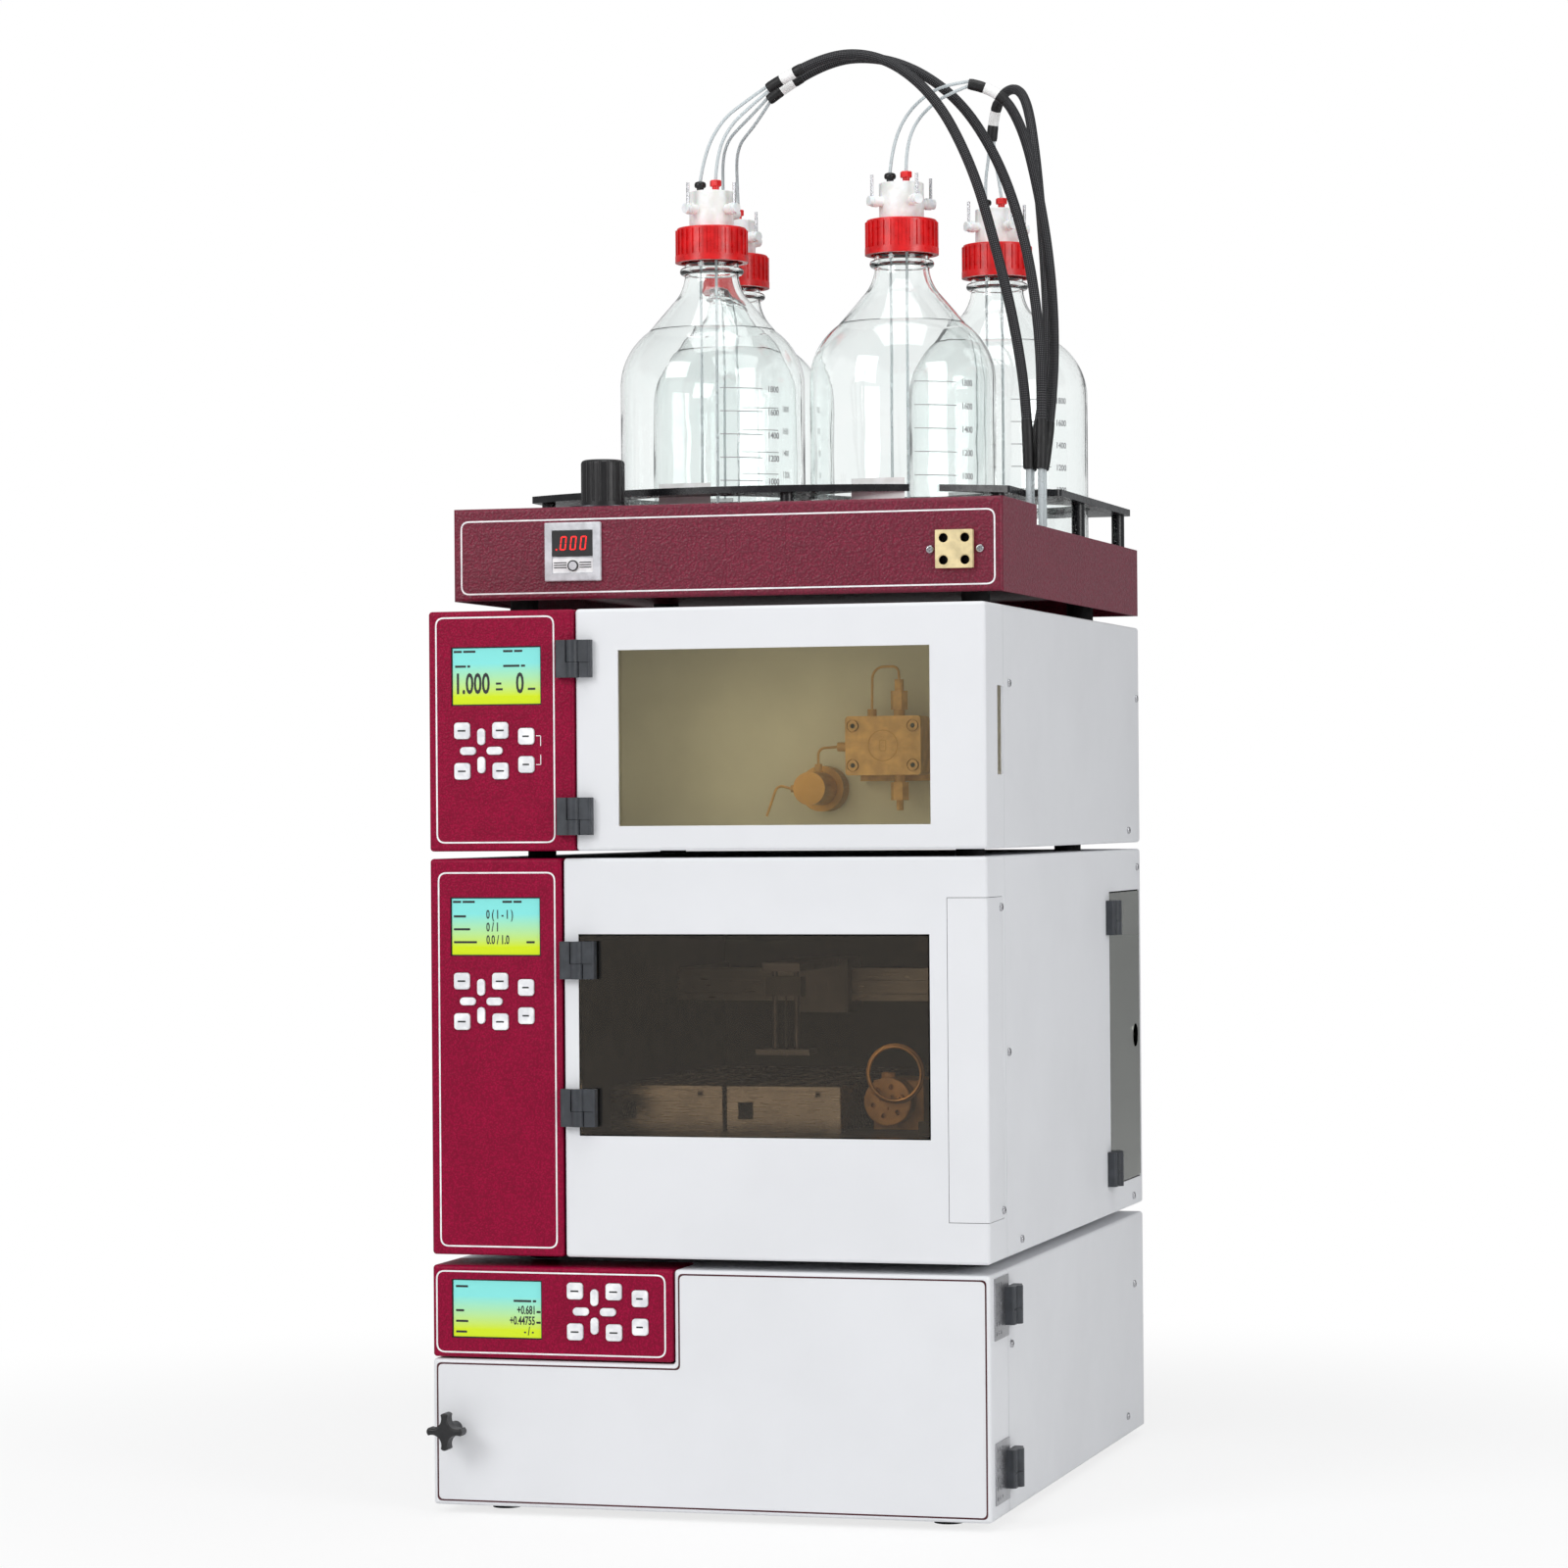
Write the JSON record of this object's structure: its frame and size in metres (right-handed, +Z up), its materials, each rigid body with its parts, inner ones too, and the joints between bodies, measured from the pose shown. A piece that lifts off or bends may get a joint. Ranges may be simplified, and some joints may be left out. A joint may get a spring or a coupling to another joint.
{
  "type": "ion chromatograph",
  "caption": "Benchtop ion chromatograph: stacked detector, sampler and pump modules with control panels and doors, under an eluent organiser with glass bottles and hoses",
  "frame": {"origin": "centre of the footprint of the whole object, on the table under the feet", "axes": "+Z up, fronts with panels and doors towards -Y, +X to the right as seen from the front"},
  "size_m": [0.4122, 0.5404, 1.0453],
  "materials": {
    "white_powder_coat": "smooth white powder coat",
    "maroon_texture": "fine-textured dark pink-red paint",
    "maroon_speckle": "speckled dark red texture paint",
    "black_plastic": "matt black moulding",
    "dark_grey_plastic": "glass-filled dark grey moulding",
    "plain_steel": "plain zinc-plated sheet",
    "aluminium": "machined aluminium",
    "peek": "beige machined plastic",
    "dark_metal": "dark anodised metal",
    "rack_black": "satin black plate",
    "post_black": "black round bar",
    "brown_acrylic": "dark brown tinted sheet",
    "olive_acrylic": "olive-brown tinted sheet",
    "silver_plastic": "silver-grey painted moulding",
    "display": "backlit display behind a clear sheet",
    "key_rubber": "moulded light grey keys",
    "screw_steel": "bright steel",
    "foot_rubber": "black rubber",
    "bottle_glass": "clear glass with printed white marks",
    "cap_red": "red ribbed moulding",
    "head_plastic": "white fluoroplastic",
    "nut_plastic": "black and red small nuts",
    "braided_hose": "black braided sleeve",
    "clear_tube": "clear flexible tube"
  },
  "bodies": {
    "frame": {"base_case": "white_powder_coat", "base_panel": "maroon_texture", "column_oven": "aluminium", "separation_column": "peek", "detector_cell": "aluminium", "sampler_case": "white_powder_coat", "sampler_panel": "maroon_texture", "sampler_corner_cover": "white_powder_coat", "vial_rack_left": "plain_steel", "vial_rack_right": "plain_steel", "gantry_rail": "aluminium", "injection_valve": "peek", "sample_loop": "peek", "pump_case": "white_powder_coat", "pump_panel": "maroon_texture", "pump_head": "peek", "pump_lines": "peek", "pulse_damper": "dark_metal", "organiser_tray": "maroon_speckle", "rack_plate": "rack_black", "rack_posts": "post_black", "regulator_body": "dark_metal", "pressure_gauge": "silver_plastic", "manifold_block": "peek", "displays": "display", "keypads": "key_rubber", "mains_inlets": "black_plastic", "case_screws": "screw_steel", "feet": "foot_rubber", "fixed_hinge_leaves": "dark_grey_plastic", "bottle_heads": "head_plastic", "stopcock_pins": "screw_steel", "tube_nuts": "nut_plastic", "clear_tubes": "clear_tube", "bottle_front_left": "bottle_glass", "hose_front_left": "braided_hose", "bottle_front_right": "bottle_glass", "hose_front_right": "braided_hose", "bottle_back_left": "bottle_glass", "hose_back_left": "braided_hose", "bottle_back_right": "bottle_glass", "hose_back_right": "braided_hose"},
    "pump_door": {"pump_door": "white_powder_coat", "pump_window": "olive_acrylic", "pump_door_leaves": "dark_grey_plastic"},
    "sampler_window": {"sampler_window": "brown_acrylic", "sampler_door_leaves": "dark_grey_plastic"},
    "side_window": {"side_window": "brown_acrylic", "side_door_leaves": "dark_grey_plastic"},
    "base_door": {"base_door": "white_powder_coat", "base_door_leaves": "dark_grey_plastic", "base_hinge_plates": "plain_steel"},
    "base_door_knob": {"base_door_knob": "black_plastic"},
    "regulator_knob": {"regulator_knob": "black_plastic"},
    "needle_carriage": {"needle_carriage": "aluminium"},
    "needle_holder": {"needle_holder": "black_plastic"},
    "cap_front_left": {"cap_front_left": "cap_red"},
    "cap_front_right": {"cap_front_right": "cap_red"},
    "cap_back_left": {"cap_back_left": "cap_red"},
    "cap_back_right": {"cap_back_right": "cap_red"}
  },
  "joints": [
    {"name": "pump_door_hinge", "type": "hinge", "parent": "frame", "child": "pump_door", "pos_m": [-0.09635, -0.25015, 0.5414], "axis": [0, 0, -1], "range_deg": [0, 130]},
    {"name": "sampler_window_hinge", "type": "hinge", "parent": "frame", "child": "sampler_window", "pos_m": [-0.09485, -0.25015, 0.3303], "axis": [0, 0, -1], "range_deg": [0, 130]},
    {"name": "side_window_hinge", "type": "hinge", "parent": "frame", "child": "side_window", "pos_m": [0.20055, 0.15225, 0.3103], "axis": [0, 0, -1], "range_deg": [0, 110]},
    {"name": "base_door_hinge", "type": "hinge", "parent": "frame", "child": "base_door", "pos_m": [0.20155, -0.19325, 0.086], "axis": [0, 0, 1], "range_deg": [0, 115]},
    {"name": "base_door_knob_turn", "type": "hinge", "parent": "base_door", "child": "base_door_knob", "pos_m": [-0.18785, -0.24525, 0.0597], "axis": [0, 1, 0], "range_deg": [0, 720]},
    {"name": "regulator_knob_turn", "type": "hinge", "parent": "frame", "child": "regulator_knob", "pos_m": [-0.10775, -0.14525, 0.7236], "axis": [0, 0, 1], "range_deg": [-360, 360]},
    {"name": "needle_carriage_slide", "type": "slide", "parent": "frame", "child": "needle_carriage", "axis": [1, 0, 0], "range_m": [-0.0855, 0.048]},
    {"name": "needle_slide", "type": "slide", "parent": "needle_carriage", "child": "needle_holder", "axis": [0, 0, 1], "range_m": [-0.03, 0]},
    {"name": "cap_front_left_turn", "type": "hinge", "parent": "frame", "child": "cap_front_left", "pos_m": [-0.06485, -0.01425, 0.9131], "axis": [0, 0, 1], "range_deg": [0, 450]},
    {"name": "cap_front_right_turn", "type": "hinge", "parent": "frame", "child": "cap_front_right", "pos_m": [0.08015, -0.01425, 0.9131], "axis": [0, 0, 1], "range_deg": [0, 450]},
    {"name": "cap_back_left_turn", "type": "hinge", "parent": "frame", "child": "cap_back_left", "pos_m": [-0.09685, 0.15275, 0.9131], "axis": [0, 0, 1], "range_deg": [0, 450]},
    {"name": "cap_back_right_turn", "type": "hinge", "parent": "frame", "child": "cap_back_right", "pos_m": [0.11215, 0.15275, 0.9131], "axis": [0, 0, 1], "range_deg": [0, 450]}
  ]
}
